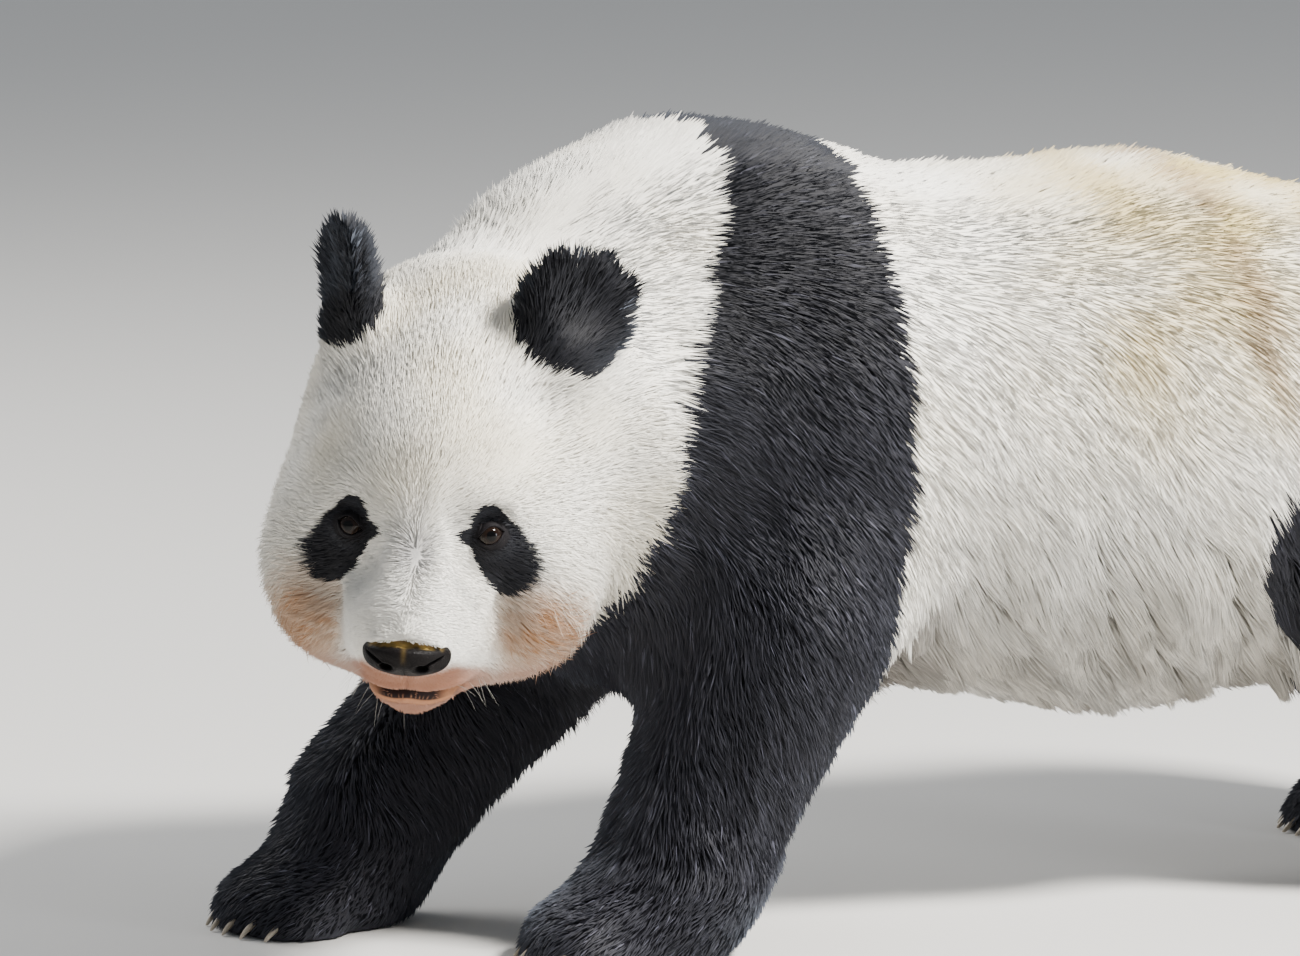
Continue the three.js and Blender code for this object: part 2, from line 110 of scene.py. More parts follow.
# markings: where the coat is black, and its colours
markings = {
    # edges of the black band over the shoulders: height and place along the body
    "bandFront": ((0.10, -0.95), (0.20, -0.56), (0.283, -0.4265), (0.317, -0.3885), (0.356, -0.3705),
                  (0.483, -0.3500), (0.598, -0.3040), (0.640, -0.2790), (0.720, -0.2500)),
    "bandRear": ((0.10, -0.175), (0.221, -0.1685), (0.310, -0.1375), (0.351, -0.1295), (0.411, -0.1205),
                 (0.500, -0.1290), (0.560, -0.1310), (0.680, -0.1225)), "bandBlur": 0.007,
    # ovals on the thighs: place along the body and side, then height and half sizes; all black below legTop
    "thighs": ((0.423, -1), (0.512, 1)), "thighHeight": 0.335, "thighSize": (0.200, 0.108), "legTop": 0.246,
    # round each eye: ovals of (outward, up, half width, half height) from the eye
    "patch": ((0.000, 0.002, 0.0190, 0.0235), (0.008, -0.009, 0.0225, 0.0245),
              (0.0155, -0.023, 0.0245, 0.0255), (-0.017, -0.003, 0.0105, 0.0075)),
    "white": (0.90, 0.875, 0.81), "black": (0.012, 0.012, 0.016), "grey": (0.28, 0.27, 0.27),
    "cream": (0.57, 0.45, 0.19), "peach": (0.38, 0.180, 0.070), "chin": (0.29, 0.100, 0.040),
    # next line: the grey-brown after the tan is painted shade beside the muzzle and behind the foreleg, and
    # grime with painted shade low on the belly
    "mud": (0.27, 0.17, 0.08), "murk": (0.24, 0.20, 0.165), "lip": (0.34, 0.16, 0.085),
    "gum": (0.020, 0.013, 0.012), "lid": (0.009, 0.008, 0.009), "dust": (0.52, 0.34, 0.09),
    "leather": (0.007, 0.006, 0.006), "clawRoot": (0.10, 0.075, 0.055), "clawTip": (0.50, 0.43, 0.33),
}
faceUp = np.array((-0.456, 0, 0.890))  # up along the slope of the face
# the ears in the head: middle of the flap, the way it faces, and its way up
earSpots = {"ear_left": ((-0.020, 0.113, 0.183), (0.865, 0.38, 0.29), (-0.20, 0.352, 0.92)),
            "ear_right": ((-0.0275, -0.085, 0.194), (0.34, -0.935, 0.03), (-0.25, -0.228, 0.94))}


def fromEyes(h):  # away from the nose, and up the face, from the nearer eye
    return np.abs(h[:, 1]) - eyes["at"][1], (h - np.array(eyes["at"]) * (1, 0, 1)) @ faceUp


def eyePatch(h):
    outward, up = fromEyes(h)
    nearest = np.full(len(h), 9.0)
    for atX, atY, wide, high in markings["patch"]:
        nearest = np.minimum(nearest, np.hypot((outward - atX) / wide, (up - atY) / high))
    return (1 - rise(nearest, 0.92, 1.08)) * (h[:, 0] > 0.0)


def earAxes(name):
    at, facing, up = (np.array(v) for v in earSpots[name])
    facing = unit(facing)
    across = unit(np.cross(up, facing))
    return at, facing, across, np.cross(facing, across)


def earCoords(h, name):  # in front of the flap, across it, and up it, from its middle
    at, *axes = earAxes(name)
    return np.stack([(h - at) @ axis for axis in axes], -1)


def earBlack(h):
    black = np.zeros(len(h))
    for name in earSpots:
        q = earCoords(h, name) - (0, 0, 0.004)
        low = q[:, 2] < 0
        size = np.where(low[:, None], (0.034, 0.058, 0.063), (0.060, 0.075, 0.075))
        black = np.maximum(black, 1 - rise(np.linalg.norm(q / size, axis=1), 0.95, 1.05))
    return black


def blackOf(p, kind):  # 1 where the coat is black
    h = toHead(p)
    x = p[:, 0] + 0.003 * ripple(p, 0.05, 3) + 0.005 * ripple(p, 0.16, 4)
    front = np.interp(p[:, 2], *np.array(markings["bandFront"]).T)
    rear = np.interp(p[:, 2], *np.array(markings["bandRear"]).T)
    blur, (wide, high), top = (markings[key] for key in ("bandBlur", "thighSize", "legTop"))
    black = rise(x, front - blur, front + blur) * (1 - rise(x, rear - blur, rear + blur))
    low = rise(-p[:, 2] - 0.006 * ripple(p, 0.05, 9), -top - 0.010, -top)
    low = low * np.isin(kind, ("hindLeg", "hindPaw"))
    for atX, side in markings["thighs"]:
        across = (p[:, 1] - midline) * side
        d = np.hypot((x - atX) / wide, (p[:, 2] - markings["thighHeight"]) / high)
        leg = np.maximum(1 - rise(d, 0.95, 1.05), low)
        black = np.maximum(black, leg * rise(across, 0.035, 0.06))
    black = np.where(kind == "head", eyePatch(h), black)
    black = np.where(kind == "ear", 0, black)
    return np.where(np.isin(kind, ("head", "ear")), np.maximum(black, earBlack(h)), black)


# mouth: its line, how deep it lies between the lips, and how far they stand out
mouth = {"height": -0.0860, "reach": 0.190, "droop": -0.20, "bow": 0.0030,
         "seam": 0.0085, "upperLip": 0.0018, "lowerLip": 0.0026, "cleft": 0.0022}


def lipLine(h):  # height above the line of the mouth
    bow = mouth["bow"] * np.exp(-(h[:, 1] / 0.010) ** 2)
    return h[:, 2] - (mouth["height"] + mouth["droop"] * np.maximum(mouth["reach"] - h[:, 0], 0) + bow)


def dyed(tint, *stains):  # colours of the markings laid one over another, each in its share
    for name, share in stains:
        tint = tint + (np.array(markings[name]) - tint) * np.clip(share, 0, 1)[:, None]
    return tint


def coatColor(p, kind, black):
    h = toHead(p)
    side = np.abs(h[:, 1])
    outward, up = fromEyes(h)
    head = kind == "head"
    body = np.isin(kind, ("trunk", "hindLeg", "tail"))
    blots = 0.5 + 0.5 * ripple(p, 0.11, 5)
    rearBack = rise(p[:, 0], -0.06, 0.12) * rise(p[:, 2], 0.40, 0.60)
    # a tan line down the flank, along the crease at the front of the haunch
    streak = np.abs(p[:, 0] - (0.190 + 0.27 * (0.594 - p[:, 2]))) + 0.010 * ripple(p, 0.05, 6)
    streak = (1 - rise(streak, 0.002, 0.032)) * rise(p[:, 2], 0.43, 0.52)  # down the flank
    # darker towards the belly: grime, and painted shade under the body
    low = rise(-p[:, 2], -0.40, -0.20)
    # painted shade on the belly just behind the foreleg
    behindLeg = np.exp(-((p[:, 0] + 0.115) / 0.055) ** 2) * rise(-p[:, 2], -0.40, -0.26)
    cheek = np.hypot((outward - 0.034) / 0.056, (up + 0.075) / 0.046)
    blush = 0.84 + 0.10 * ripple(p, 0.03, 7) + 0.14 * ripple(p, 0.010, 8)
    blush = blush * rise(side, 0.052, 0.070) * rise(h[:, 0], -0.02, 0.05) * (1 - rise(cheek, 0.25, 1.25))
    narrow = 1 - rise(side, 0.036, 0.060)
    # orange-brown on the chin; in the middle it reaches up under the nose pad, where it is painted shade
    chin = rise(-h[:, 2], 0.078 - 0.030 * narrow, 0.104 - 0.042 * narrow) * rise(h[:, 0], 0.02, 0.10)
    # painted shade in the hollow between muzzle and cheek
    besideMuzzle = spot(np.abs(h), (0.122, 0.073, 0.034), (0.034, 0.013, 0.030)) * (h[:, 2] < 0)
    brow = spot(h, (0.135, 0, 0.022), (0.03, 0.011, 0.030))
    bridge = spot(h, (0.165, 0, 0.0), (0.03, 0.005, 0.03))
    parting = np.exp(-(h[:, 1] / 0.007) ** 2 - ((up + 0.019) / 0.012) ** 2) * (h[:, 0] > 0.08)
    return dyed(
        np.array(markings["white"]) * np.ones((len(p), 1)),
        ("cream", 0.12 * blots),
        ("cream", body * rearBack * (0.50 + 0.45 * blots)),
        ("mud", body * 0.62 * streak),
        ("murk", (body | (kind == "neck")) * low * (0.16 + 0.30 * blots)),
        ("murk", (kind == "trunk") * 0.80 * behindLeg),
        ("peach", head * blush),
        ("chin", head * (0.72 + 0.20 * narrow) * chin),
        ("murk", head * 0.50 * besideMuzzle),
        ("cream", head * 0.22 * rise(h[:, 2], 0.03, 0.09) * (0.3 + 0.7 * blots)),
        ("cream", head * 0.24 * rise(-h[:, 0], -0.06, 0.0) * (1 - rise(h[:, 2], 0.0, 0.05))),
        ("grey", head * 0.62 * (brow + 0.6 * bridge)),
        ("grey", head * 0.70 * parting),
        ("black", black))


# the flesh of the CAD model, and which part each place belongs to
kinds = {"head": "head", "eye_left": "head", "eye_right": "head", "nose": "head", "neck": "neck",
         "ear_left": "ear", "ear_right": "ear", "trunk": "trunk", "tail": "tail"}
for end, kind in (("front", "fore"), ("hind", "hind")):
    for hand in ("left", "right"):
        kinds[f"{end}_{hand}_leg"] = kind + "Leg"
        kinds[f"{end}_{hand}_paw"] = kind + "Paw"
flesh = [name for name in kinds if name.split("_")[0] not in ("eye", "nose")]


def mergedCopy(names, swell=0.0):
    bm = bmesh.new()
    owners = []
    for name in names:
        one = bmesh.new()
        one.from_mesh(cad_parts[name].data)
        bmesh.ops.remove_doubles(one, verts=one.verts, dist=1e-5)
        one.normal_update()
        for v in one.verts:
            v.co += v.normal * swell
        mesh = bpy.data.meshes.new("part")
        one.to_mesh(mesh)
        one.free()
        bm.from_mesh(mesh)
        owners += [name] * len(mesh.polygons)
        bpy.data.meshes.remove(mesh)
    return bm, owners


class Outline:  # which part a place belongs to, and how far it lies inside the shell round them all
    def __init__(self):
        bm, owners = mergedCopy(list(kinds))
        self.tree = BVHTree.FromBMesh(bm)
        self.kind = np.array([kinds[name] for name in owners])
        self.shell = None
        bm.free()

    def kindAt(self, points):
        return self.kind[[self.tree.find_nearest(Vector(p))[2] for p in points]]

    def roomAt(self, points):
        return np.array([self.shell.find_nearest(Vector(p))[3] for p in points])


outline = Outline()


def places(bm):
    return np.array([v.co for v in bm.verts])


def setPlaces(bm, values):
    for v, value in zip(bm.verts, values):
        v.co = value


def pieceFrom(name, mesh):
    piece = bpy.data.objects.new(name, mesh)
    bpy.context.scene.collection.objects.link(piece)
    return piece


def finished(name, bm, smooth=True):  # a bmesh made a piece, its faces outward
    bmesh.ops.recalc_face_normals(bm, faces=bm.faces)
    if bm.calc_volume(signed=True) < 0:
        bmesh.ops.reverse_faces(bm, faces=bm.faces)
    for f in bm.faces:
        f.smooth = smooth
    mesh = bpy.data.meshes.new(name)
    bm.to_mesh(mesh)
    bm.free()
    return pieceFrom(name, mesh)


def paint(mesh, tint):
    layer = mesh.color_attributes.new(name="coatColor", type="FLOAT_COLOR", domain="POINT")
    rgba = np.ones((len(tint), 4))
    rgba[:, :3] = tint
    layer.data.foreach_set("color", rgba.ravel())


# the skin: all the flesh in one piece, drawn in by the depth of the coat
skinSpec = {"swell": 0.0008, "voxel": 0.0090, "evenRounds": 12, "hold": 0.52, "step": 0.006,
            "uvAngle": 66, "uvMargin": 0.004}
coatDepth = {"head": 0.012, "ear": 0.0135, "neck": 0.024, "trunk": 0.025, "tail": 0.020,
             "foreLeg": 0.016, "hindLeg": 0.016, "forePaw": 0.008, "hindPaw": 0.008}


def remeshed(bm, voxel):
    mesh = bpy.data.meshes.new("rough")
    bm.to_mesh(mesh)
    rough = pieceFrom("rough", mesh)
    step = rough.modifiers.new("remesh", "REMESH")
    step.mode = "VOXEL"
    step.voxel_size = voxel
    done = bpy.data.meshes.new_from_object(rough.evaluated_get(bpy.context.evaluated_depsgraph_get()))
    bpy.data.objects.remove(rough)
    bpy.data.meshes.remove(mesh)
    return done


def keepLargest(bm):  # drops the bubbles that the remesh leaves inside
    left, groups = set(bm.verts), []
    while left:
        group = [left.pop()]
        for v in group:  # it grows as it is walked along
            reached = {e.other_vert(v) for e in v.link_edges} & left
            left -= reached
            group += reached
        groups.append(group)
    groups.sort(key=len)
    bmesh.ops.delete(bm, geom=[v for g in groups[:-1] for v in g], context="VERTS")


class Surface:  # the arrays of a mesh that the shaping and the coat work on
    def __init__(self, mesh):
        mesh.calc_loop_triangles()
        n = len(mesh.vertices)

        def read(items, field, width, kind=np.float64):
            values = np.empty(len(items) * width, dtype=kind)
            items.foreach_get(field, values)
            return values.reshape(-1, width)

        self.co = read(mesh.vertices, "co", 3)
        self.normal = read(mesh.vertex_normals, "vector", 3)
        self.edges = read(mesh.edges, "vertices", 2, np.int64)
        self.tris = read(mesh.loop_triangles, "vertices", 3, np.int64)
        self.corners = read(mesh.loop_triangles, "loops", 3, np.int64)
        self.valence = np.bincount(self.edges.ravel(), minlength=n)

    def meanRound(self, flat):
        a, b, n = self.edges[:, 0], self.edges[:, 1], len(self.co)
        total = np.stack([np.bincount(a, c[b], n) + np.bincount(b, c[a], n) for c in flat.T], 1)
        return total / np.maximum(self.valence, 1)[:, None]

    def evened(self, field, rounds, back=0.0):  # with `back` the shape doesn't shrink
        flat = field.reshape(len(self.co), -1).astype(float)
        for _ in range(rounds):
            flat = flat + 0.5 * (self.meanRound(flat) - flat)
            if back:
                flat = flat - back * (self.meanRound(flat) - flat)
        return flat.reshape(field.shape)


def depthAt(s, kind):
    p, h = s.co, toHead(s.co)
    depth = np.select([kind == name for name in coatDepth], list(coatDepth.values()))
    under = rise(-s.normal[:, 2], 0.1, 0.7) * rise(-p[:, 2], -0.36, -0.24)
    depth = depth + 0.012 * under * np.isin(kind, ("trunk", "neck"))
    depth = s.evened(depth, 14)
    head = kind == "head"
    depth = depth * (1 - 0.50 * head * rise(h[:, 0], 0.02, 0.11))
    nearEyes = 0.0022 + 0.20 * np.maximum(eyeRing(h) - 0.018, 0)
    snout = np.linalg.norm((h - np.array((0.195, 0, -0.060))) / (1, 1.2, 1), axis=1)
    nearNose = 0.0018 + 0.07 * np.maximum(snout - 0.03, 0)
    depth = np.where(head, np.minimum(depth, np.minimum(nearEyes, nearNose)), depth)
    return depth * rise(p[:, 2], 0.001, 0.03)


def refine(bm, wanted):  # a finer net where `wanted` says so, by the place in the head
    picked = wanted(toHead(places(bm)))
    bm.verts.index_update()
    edges = [e for e in bm.edges if picked[e.verts[0].index] and picked[e.verts[1].index]]
    bmesh.ops.subdivide_edges(bm, edges=edges, cuts=1, use_grid_fill=True, smooth=0.5)


def faceArea(h):
    return (h[:, 0] > 0.03) & (np.abs(h[:, 1]) < 0.12) & (h[:, 2] > -0.15) & (h[:, 2] < 0.11)


def lipArea(h, reach):
    return (h[:, 0] > 0.10) & (np.abs(lipLine(h)) < reach) & (np.abs(h[:, 1]) < 0.060)


netSteps = (
    faceArea,
    lambda h: (eyeRing(h) < 0.036) | ((h[:, 0] > 0.09) & (h[:, 2] < -0.02) & (np.abs(h[:, 1]) < 0.075)),
    lambda h: (eyeRing(h) < 0.022) | lipArea(h, 0.014),
    lambda h: (eyeRing(h) < 0.017) | lipArea(h, 0.006),
)
# bumps and hollows of the face: middle, half sizes and height, mirrored to the other side
faceForms = (
    ((0.098, 0.046, 0.064), (0.03, 0.022, 0.012), 0.0030),  # brow
    ((0.140, 0.048, -0.002), (0.022, 0.013, 0.018), -0.0070),  # beside the bridge of the nose
    ((0.122, 0.071, -0.034), (0.034, 0.014, 0.030), -0.0150),  # between muzzle and cheek
    ((0.105, 0.068, -0.075), (0.030, 0.014, 0.018), -0.0070),  # behind the corner of the mouth
    ((0.165, 0.000, -0.004), (0.028, 0.016, 0.016), 0.0016),  # bridge of the nose
    ((0.120, 0.000, 0.060), (0.04, 0.007, 0.035), -0.0016),  # furrow of the forehead
    ((0.160, 0.038, -0.052), (0.030, 0.018, 0.022), 0.0034),  # whisker pads
)


def shapeForms(h):
    out = unit(h - np.array((0.05, 0, -0.02)))
    for middle, size, height in faceForms:
        mirrored = np.stack([h[:, 0], np.abs(h[:, 1]), h[:, 2]], 1)
        h = h + out * (height * spot(mirrored, middle, size))[:, None]
    return h


def shapeEyes(h):
    for side in (1, -1):
        along, across, up = eyeCoords(h, side)
        gaze, ball = eyeAxes(side)[1], eyes["ball"]
        out = np.hypot(across, up)
        rim = openness(across, up)
        lidReach = 0.94 * ball  # as far out as the lids follow the eyeball
        lid = np.sqrt(np.maximum((ball + eyes["lid"]) ** 2 - np.minimum(out, lidReach) ** 2, 0))
        fold = eyes["fold"] * np.exp(-((rim - 1.75) / 0.22) ** 2) * (up > 0)
        lid = lid - fold - 0.55 * np.maximum(out - lidReach, 0)
        lid = np.where(rim < 1, np.sqrt(np.maximum(ball ** 2 - out ** 2, 0)) - 0.0035, lid)
        hold = (1 - rise(out, 1.02 * ball, 2.2 * ball)) * (np.abs(along) < 0.03)
        h = h + gaze * ((lid - along) * hold)[:, None]
    return h


def shapeMouth(h):
    line = lipLine(h)
    side = np.abs(h[:, 1])
    front = rise(h[:, 0], 0.10, 0.15) * (1 - rise(side, 0.040, 0.060))
    opened = 1 - 0.75 * rise(side, 0.024, 0.038)
    seam = opened * (np.exp(-(line / 0.0026) ** 2) * mouth["seam"] + np.exp(-(line / 0.0060) ** 2) * 0.0015)
    upper = np.exp(-((line - 0.0085) / 0.0045) ** 2) * mouth["upperLip"]
    lower = np.exp(-((line + 0.0080) / 0.0050) ** 2) * mouth["lowerLip"]
    under = (h[:, 0] > 0.16) & (h[:, 2] < -0.045)
    cleft = np.exp(-(h[:, 1] / 0.0016) ** 2) * rise(line, 0.001, 0.004) * mouth["cleft"] * under
    out = unit(h - np.array((0.10, 0, -0.06)))
    return h + out * (front * (upper + lower - seam) - cleft)[:, None]


# nose pad: its sizes, the nostrils and the slits beside them, the groove, and the bare skin round it
noseSpec = {"at": (0.2035, 0, -0.0330), "halfWidth": 0.0375, "above": 0.0070, "below": 0.0262,
            "depth": 0.0165, "wrap": 0.011, "droop": 0.0080,
            "nostril": (0.0150, -0.0120), "nostrilSize": (0.0062, 0.0047), "pit": 0.0075, "brim": 0.0009,
            "slit": (0.0245, -0.0065), "slitSize": (0.0095, 0.0021), "groove": 0.0016,
            "bare": (0.0370, 0.0195)}


def shapeNoseBed(h):  # the skin stays behind the nose pad
    s = noseSpec
    pad = np.hypot(h[:, 1] / (s["halfWidth"] - 0.003), (h[:, 2] - s["at"][2] + 0.007) / 0.0190)
    bed = s["at"][0] - 0.004 - 0.010 * (h[:, 1] / s["halfWidth"]) ** 2
    over = np.maximum(h[:, 0] - bed, 0) * (1 - rise(pad, 0.85, 1.05))
    return h - np.array((1.0, 0, 0)) * over[:, None]


def buildSkin():
    bm, _ = mergedCopy(list(kinds), skinSpec["swell"])
    mesh = remeshed(bm, skinSpec["voxel"])
    bm.free()
    bm = bmesh.new()
    bm.from_mesh(mesh)
    keepLargest(bm)
    outline.shell = BVHTree.FromBMesh(bm)

    def surfaceNow():
        bm.normal_update()
        bm.to_mesh(mesh)
        return Surface(mesh)

    hold, step = skinSpec["hold"], skinSpec["step"]
    s = surfaceNow()
    setPlaces(bm, s.evened(s.co, skinSpec["evenRounds"], hold))
    s = surfaceNow()
    setPlaces(bm, s.evened(s.co - s.normal * depthAt(s, outline.kindAt(s.co))[:, None], 3, hold))
    for _ in range(2):  # moved out or in again to just the depth of the coat
        s = surfaceNow()
        gap = outline.roomAt(s.co) - depthAt(s, outline.kindAt(s.co))
        drawn = s.co + s.normal * s.evened(np.clip(gap, -step, step), 3)[:, None]
        drawn[:, 2] = np.maximum(drawn[:, 2], 0.0004)
        setPlaces(bm, drawn)
    for area in netSteps:
        refine(bm, area)
    h = toHead(places(bm))
    area = faceArea(h)
    h[area] = shapeNoseBed(shapeMouth(shapeEyes(shapeForms(h[area]))))
    setPlaces(bm, fromHead(h))
    bpy.data.meshes.remove(mesh)
    return finished("skin", bm)


skin = buildSkin()
bpy.context.view_layer.objects.active = skin
skin.select_set(True)
bpy.ops.object.mode_set(mode="EDIT")
bpy.ops.mesh.select_all(action="SELECT")
bpy.ops.uv.smart_project(angle_limit=math.radians(skinSpec["uvAngle"]), island_margin=skinSpec["uvMargin"])
bpy.ops.object.mode_set(mode="OBJECT")
skin.data.uv_layers[0].name = "OFBake"
surface = Surface(skin.data)
surface.kind, surface.room = outline.kindAt(surface.co), outline.roomAt(surface.co)
surface.uv = np.empty(len(skin.data.loops) * 2)
skin.data.uv_layers["OFBake"].uv.foreach_get("vector", surface.uv)
surface.uv = surface.uv.reshape(-1, 2)
print("skin made:", len(surface.tris), "triangles")


def shaggy(p, kind):  # the long locks under the belly
    return rise(-p[:, 2], -0.46, -0.24) * (kind == "trunk")


def skinTint():
    p, kind = surface.co, surface.kind
    h, head = toHead(p), kind == "head"
    line, side = lipLine(h), np.abs(h[:, 1])
    front = rise(h[:, 0], 0.085, 0.12) * head * (1 - rise(side, 0.040, 0.055))
    opening = 1 - 0.8 * rise(side, 0.020, 0.032)
    wander = h[:, 1] + 0.0016 * ripple(h, 0.016, 21)  # small folds of the lower lip
    folds = rise(np.cos(wander * 2 * math.pi / 0.0042), 0.3, 1.0) * (1 - rise(side, 0.016, 0.024))
    # the skin a little darker than the coat over it, and much darker under the belly locks: painted shade
    # between tufts and locks
    return dyed(
        coatColor(p, kind, blackOf(p, kind)) * (0.93 - 0.45 * shaggy(p, kind))[:, None],
        ("lip", front * rise(line, -0.024, -0.016) * (1 - rise(line, 0.003, 0.008))),
        ("gum", front * opening * (1 - rise(np.abs(line + 0.0016), 0.0044, 0.0062))),
        ("lip", front * 0.50 * folds * np.exp(-((line + 0.0048) / 0.0014) ** 2)),
        ("lid", head * (1 - rise(eyeRing(h), 0.016, 0.021))))


paint(skin.data, skinTint())

# the coat: tufts to the square metre, width, length, stray (degrees), pull into locks, lift off the skin
coatSpec = {
    "head": (385000, 0.00078, 0.022, 9, 0.13, 0.014),
    "ear": (480000, 0.00080, 0.025, 12, 0.12, 0.020),
    "neck": (240000, 0.00092, 0.044, 7, 0.12, 0.030),
    "trunk": (172000, 0.00096, 0.048, 6, 0.10, 0.036),
    "tail": (160000, 0.00110, 0.046, 12, 0.40, 0.030),
    "foreLeg": (175000, 0.00098, 0.030, 8, 0.14, 0.022),
    "hindLeg": (140000, 0.00105, 0.033, 9, 0.18, 0.022),
    "forePaw": (140000, 0.00115, 0.017, 11, 0.20, 0.011),
    "hindPaw": (125000, 0.00115, 0.017, 11, 0.20, 0.011),
}
patchSize = 0.003  # of a tuft, on the unwrap
mostTufts = 48000  # in one piece


def lieOfCoat(p, kind):  # on the head away from the bridge of the nose, elsewhere one way for each part
    h = toHead(p)
    brow, tip = np.array((0.126, 0, 0.038)), np.array((0.205, 0, -0.026))
    share = np.clip((h - brow) @ (tip - brow) / ((tip - brow) @ (tip - brow)), 0, 1)
    fromRidge = unit(h - (brow + share[:, None] * (tip - brow)))
    fromRidge[:, 2] -= 0.30 * rise(np.abs(h[:, 1]), 0.05, 0.12) * rise(-h[:, 2], -0.04, 0.06)
    high = rise(p[:, 2], 0.50, 0.68)
    onEar = np.zeros((len(p), 3))
    for name in earSpots:
        q = earCoords(h, name)
        near = np.linalg.norm(q, axis=1) < 0.09
        at, _, _, up = earAxes(name)
        onEar[near] = unit(h[near] - (at - up * 0.030)) @ headTurn.T
    ways = {"head": fromRidge @ headTurn.T, "ear": onEar, "neck": (0.80, 0.30, -0.52),
            "trunk": np.stack([0.50 + 0.45 * high, 0 * high, -0.86 + 0.55 * high], 1),
            "foreLeg": (0.32, 0, -1.0), "hindLeg": (0.34, 0, -1.0), "tail": (0.35, 0, -1.0),
            "forePaw": (-0.75, 0, -0.55), "hindPaw": (-0.75, 0, -0.55)}
    flow = np.zeros((len(p), 3))
    for name, way in ways.items():
        flow[kind == name] = unit(np.ones((len(p), 1)) * way)[kind == name]
    return flow


def coatFields():
    p, kind = surface.co, surface.kind
    h = toHead(p)
    spread = np.zeros((len(p), 6))
    for name, values in coatSpec.items():
        spread[kind == name] = values
    dense, width, length, stray, pull, lift = spread.T
    head, trunk, side = kind == "head", kind == "trunk", np.abs(h[:, 1])
    # finer and shorter on the face, most of all on the muzzle
    face = rise(h[:, 0], 0.0, 0.09) * (1 - 0.7 * rise(side, 0.065, 0.105)) * head
    snout = (1 - rise(np.linalg.norm(h - np.array((0.19, 0, -0.05)), axis=1), 0.045, 0.10)) * head
    dense = dense * (0.75 + 0.55 * face + 0.5 * snout)
    width = width * (1.1 - 0.25 * face - 0.15 * snout)
    length = length * (1 - 0.40 * face) * (1 - 0.45 * snout)
    lift = lift * (1 - 0.62 * face) * (1 - 0.3 * snout)
    # a ruff below the ears, and longer fur at the sides of the jaw
    ruff = head * rise(side, 0.075, 0.105) * (1 - rise(h[:, 2], -0.01, 0.05))
    jaw = rise(-h[:, 2], 0.080, 0.105) * rise(h[:, 0], 0.0, 0.06) * head
    length = length + 0.018 * ruff + 0.012 * jaw * rise(side, 0.035, 0.055)
    lift = lift + 0.010 * ruff + 0.005 * jaw
    stray = stray + 8 * ruff
    # short round the eyes, on the lips and round the nose pad
    length = np.where(head, length * (0.40 + 0.60 * rise(eyeRing(h), 0.016, 0.045)), length)
    lips = np.exp(-((lipLine(h) - 0.004) / 0.012) ** 2) * rise(h[:, 0], 0.10, 0.14) * head
    length = length * (1 - 0.60 * lips)
    rim = np.hypot(h[:, 1] / noseSpec["halfWidth"], (h[:, 2] - noseSpec["at"][2] + 0.008) / 0.0185)
    length = length * (1 - 0.55 * (1 - rise(rim, 1.0, 1.8)) * (h[:, 0] > 0.13) * head)
    # long under the belly, shorter on the back and in the black band
    low = rise(-p[:, 2], -0.42, -0.22) * trunk
    pull = pull + 0.35 * low
    length = length * (1 + 0.45 * low) * (1 - 0.18 * rise(p[:, 2], 0.55, 0.68))
    length = length * (1 - 0.40 * blackOf(p, kind) * trunk)
    return np.stack([dense, width, length, stray, pull, lift], 1)


surface.flow = surface.evened(lieOfCoat(surface.co, surface.kind), 30)
surface.spec = surface.evened(coatFields(), 18)


def bareness(p, kind):  # 0 where no tufts grow: eyes, nose pad, lips and soles
    h, head = toHead(p), kind == "head"
    grow = rise(p[:, 2], 0.003, 0.010)
    for side in (1, -1):
        along, across, up = eyeCoords(h, side)
        ring = np.hypot(across / eyes["bare"][0], up / eyes["bare"][1])
        grow = np.where(head & (np.abs(along) < 0.03), grow * rise(ring, 0.97, 1.10), grow)
    wide, high = noseSpec["bare"]
    pad = np.hypot(h[:, 1] / wide, (h[:, 2] - noseSpec["at"][2] + 0.007) / high)
    grow = np.where((h[:, 0] > 0.17) & head, grow * rise(pad, 0.94, 1.0), grow)
    line = lipLine(h)
    lips = (h[:, 0] > 0.12) & (line > -0.0130) & (line < 0.0050) & head & (np.abs(h[:, 1]) < 0.040)
    return np.where(lips, 0.03, grow)


def sampleRoots():  # evenly over the skin, as dense as the coat is there
    tris, corners = surface.tris, surface.corners
    a, b, c = (surface.co[tris[:, n]] for n in range(3))
    size = np.linalg.norm(np.cross(b - a, c - a), axis=1) / 2
    total = np.cumsum(size * surface.spec[tris, 0].mean(1))
    count = int(total[-1])
    marks = (np.arange(count) + rng.uniform(0, 1, count)) * total[-1] / count
    pick = np.minimum(np.searchsorted(total, marks), len(tris) - 1)
    s, t = np.sqrt(rng.uniform(0, 1, count)), rng.uniform(0, 1, count)
    weights = np.stack([1 - s, s * (1 - t), s * t], 1)
    tris, corners = tris[pick], corners[pick]

    def blend(field):
        return np.einsum("nk,nkd->nd", weights, field[tris].reshape(count, 3, -1))

    roots = {"at": blend(surface.co), "normal": unit(blend(surface.normal)), "flow": blend(surface.flow),
             "room": blend(surface.room)[:, 0], "spec": blend(surface.spec),
             "kind": surface.kind[tris[:, 0]],
             "uv": np.einsum("nk,nkd->nd", weights, surface.uv[corners])}
    keep = rng.uniform(0, 1, count) < bareness(roots["at"], roots["kind"])
    return {name: values[keep] for name, values in roots.items()}


